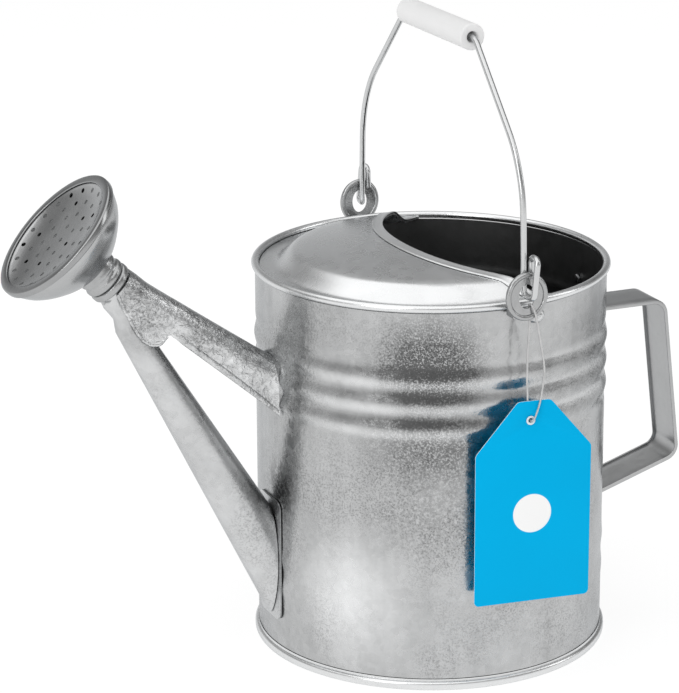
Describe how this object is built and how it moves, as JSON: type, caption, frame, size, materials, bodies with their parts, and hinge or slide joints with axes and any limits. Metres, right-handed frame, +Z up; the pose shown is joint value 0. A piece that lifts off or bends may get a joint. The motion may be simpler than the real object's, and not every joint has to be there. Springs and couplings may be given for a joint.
{
  "type": "watering can",
  "caption": "Galvanised sheet-steel watering can with a covered front, a braced spout with a pull-off rose, a swinging bail with a grip, a strap handle and a hang tag.",
  "frame": {"origin": "centre of the whole can's plan at ground level, leaving out the hang tag and its string", "axes": "+X towards the back handle and -X towards the spout; -Y is the side with the hang tag; +Z up, standing on the chime"},
  "size_m": [0.4294, 0.2494, 0.3832],
  "materials": {
    "galvanised": "galvanised sheet, spangled, semi-matt",
    "dipped": "hot-dipped zinc with ripples and drips",
    "satin": "smooth satin zinc",
    "wire": "drawn galvanised wire",
    "grip": "white moulded plastic",
    "tag": "bright blue coated card",
    "eyelet": "white reinforcing ring",
    "string": "thin grey twisted string"
  },
  "bodies": {
    "can": {"tank_wall": "galvanised", "side_seam": "galvanised", "bottom_pan": "galvanised", "bottom_chime": "galvanised", "rim_bead": "galvanised", "rim_wire": "wire", "cover": "satin", "cover_hem": "satin", "spout_tube": "dipped", "spout_flange": "dipped", "spout_brace": "dipped", "spout_collar": "dipped", "ear_near": "satin", "ear_far": "satin", "back_handle": "satin", "handle_rivet_1": "wire", "handle_rivet_2": "wire", "handle_rivet_3": "wire", "handle_rivet_4": "wire"},
    "bail": {"bail_wire": "wire"},
    "grip": {"bail_grip": "grip"},
    "rose": {"rose_socket": "dipped", "rose_bowl": "satin", "rose_face": "satin", "rose_ring": "satin"},
    "tag": {"tag_card": "tag", "tag_eyelet": "eyelet", "tag_string": "string"}
  },
  "joints": [
    {"name": "bail_swing", "type": "hinge", "parent": "can", "child": "bail", "pos_m": [0.05464, 0, 0.2405], "axis": [0, 1, 0], "range_deg": [-100, 103]},
    {"name": "grip_spin", "type": "hinge", "parent": "bail", "child": "grip", "pos_m": [0.05464, 0, 0.3754], "axis": [0, 1, 0], "continuous": true},
    {"name": "rose_pull", "type": "slide", "parent": "can", "child": "rose", "axis": [-0.7071, 0, 0.7071], "range_m": [0, 0.03]},
    {"name": "tag_swing", "type": "hinge", "parent": "can", "child": "tag", "pos_m": [0.05704, -0.1174, 0.234], "axis": [-1, 0, 0], "range_deg": [-2, 90], "deforming": ["tag_string"]}
  ]
}
